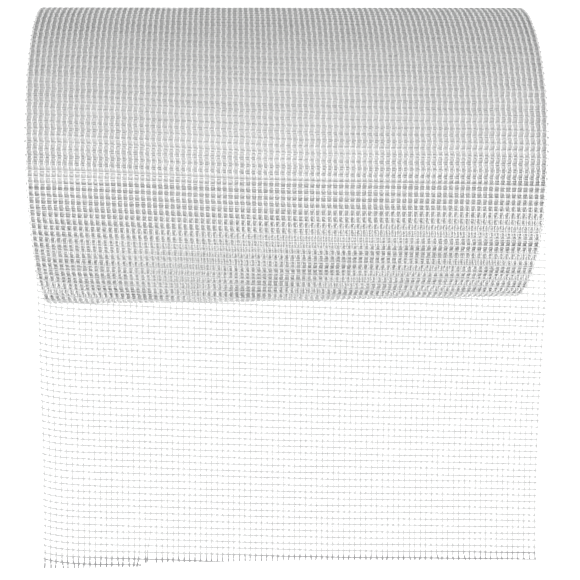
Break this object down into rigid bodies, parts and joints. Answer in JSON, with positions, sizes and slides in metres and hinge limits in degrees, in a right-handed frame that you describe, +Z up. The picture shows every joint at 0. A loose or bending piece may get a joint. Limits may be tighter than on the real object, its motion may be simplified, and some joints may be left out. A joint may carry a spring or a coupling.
{
  "type": "roll of fiberglass mesh",
  "caption": "Roll of white coated glass fibre mesh with an open bore, lying on its side, its free end drawn off over the top and leaning down to the floor.",
  "frame": {"origin": "on the floor, at the middle of the footprint of the roll and its free end", "axes": "+X along the roll's axis, +Y from the free end's cut edge towards the roll's back, +Z up"},
  "size_m": [0.33, 0.3646, 0.203],
  "materials": {
    "coated_glass_yarn": "white coated glass fibre yarn, satin"
  },
  "bodies": {
    "root": {"mesh_web": "coated_glass_yarn"}
  },
  "joints": []
}
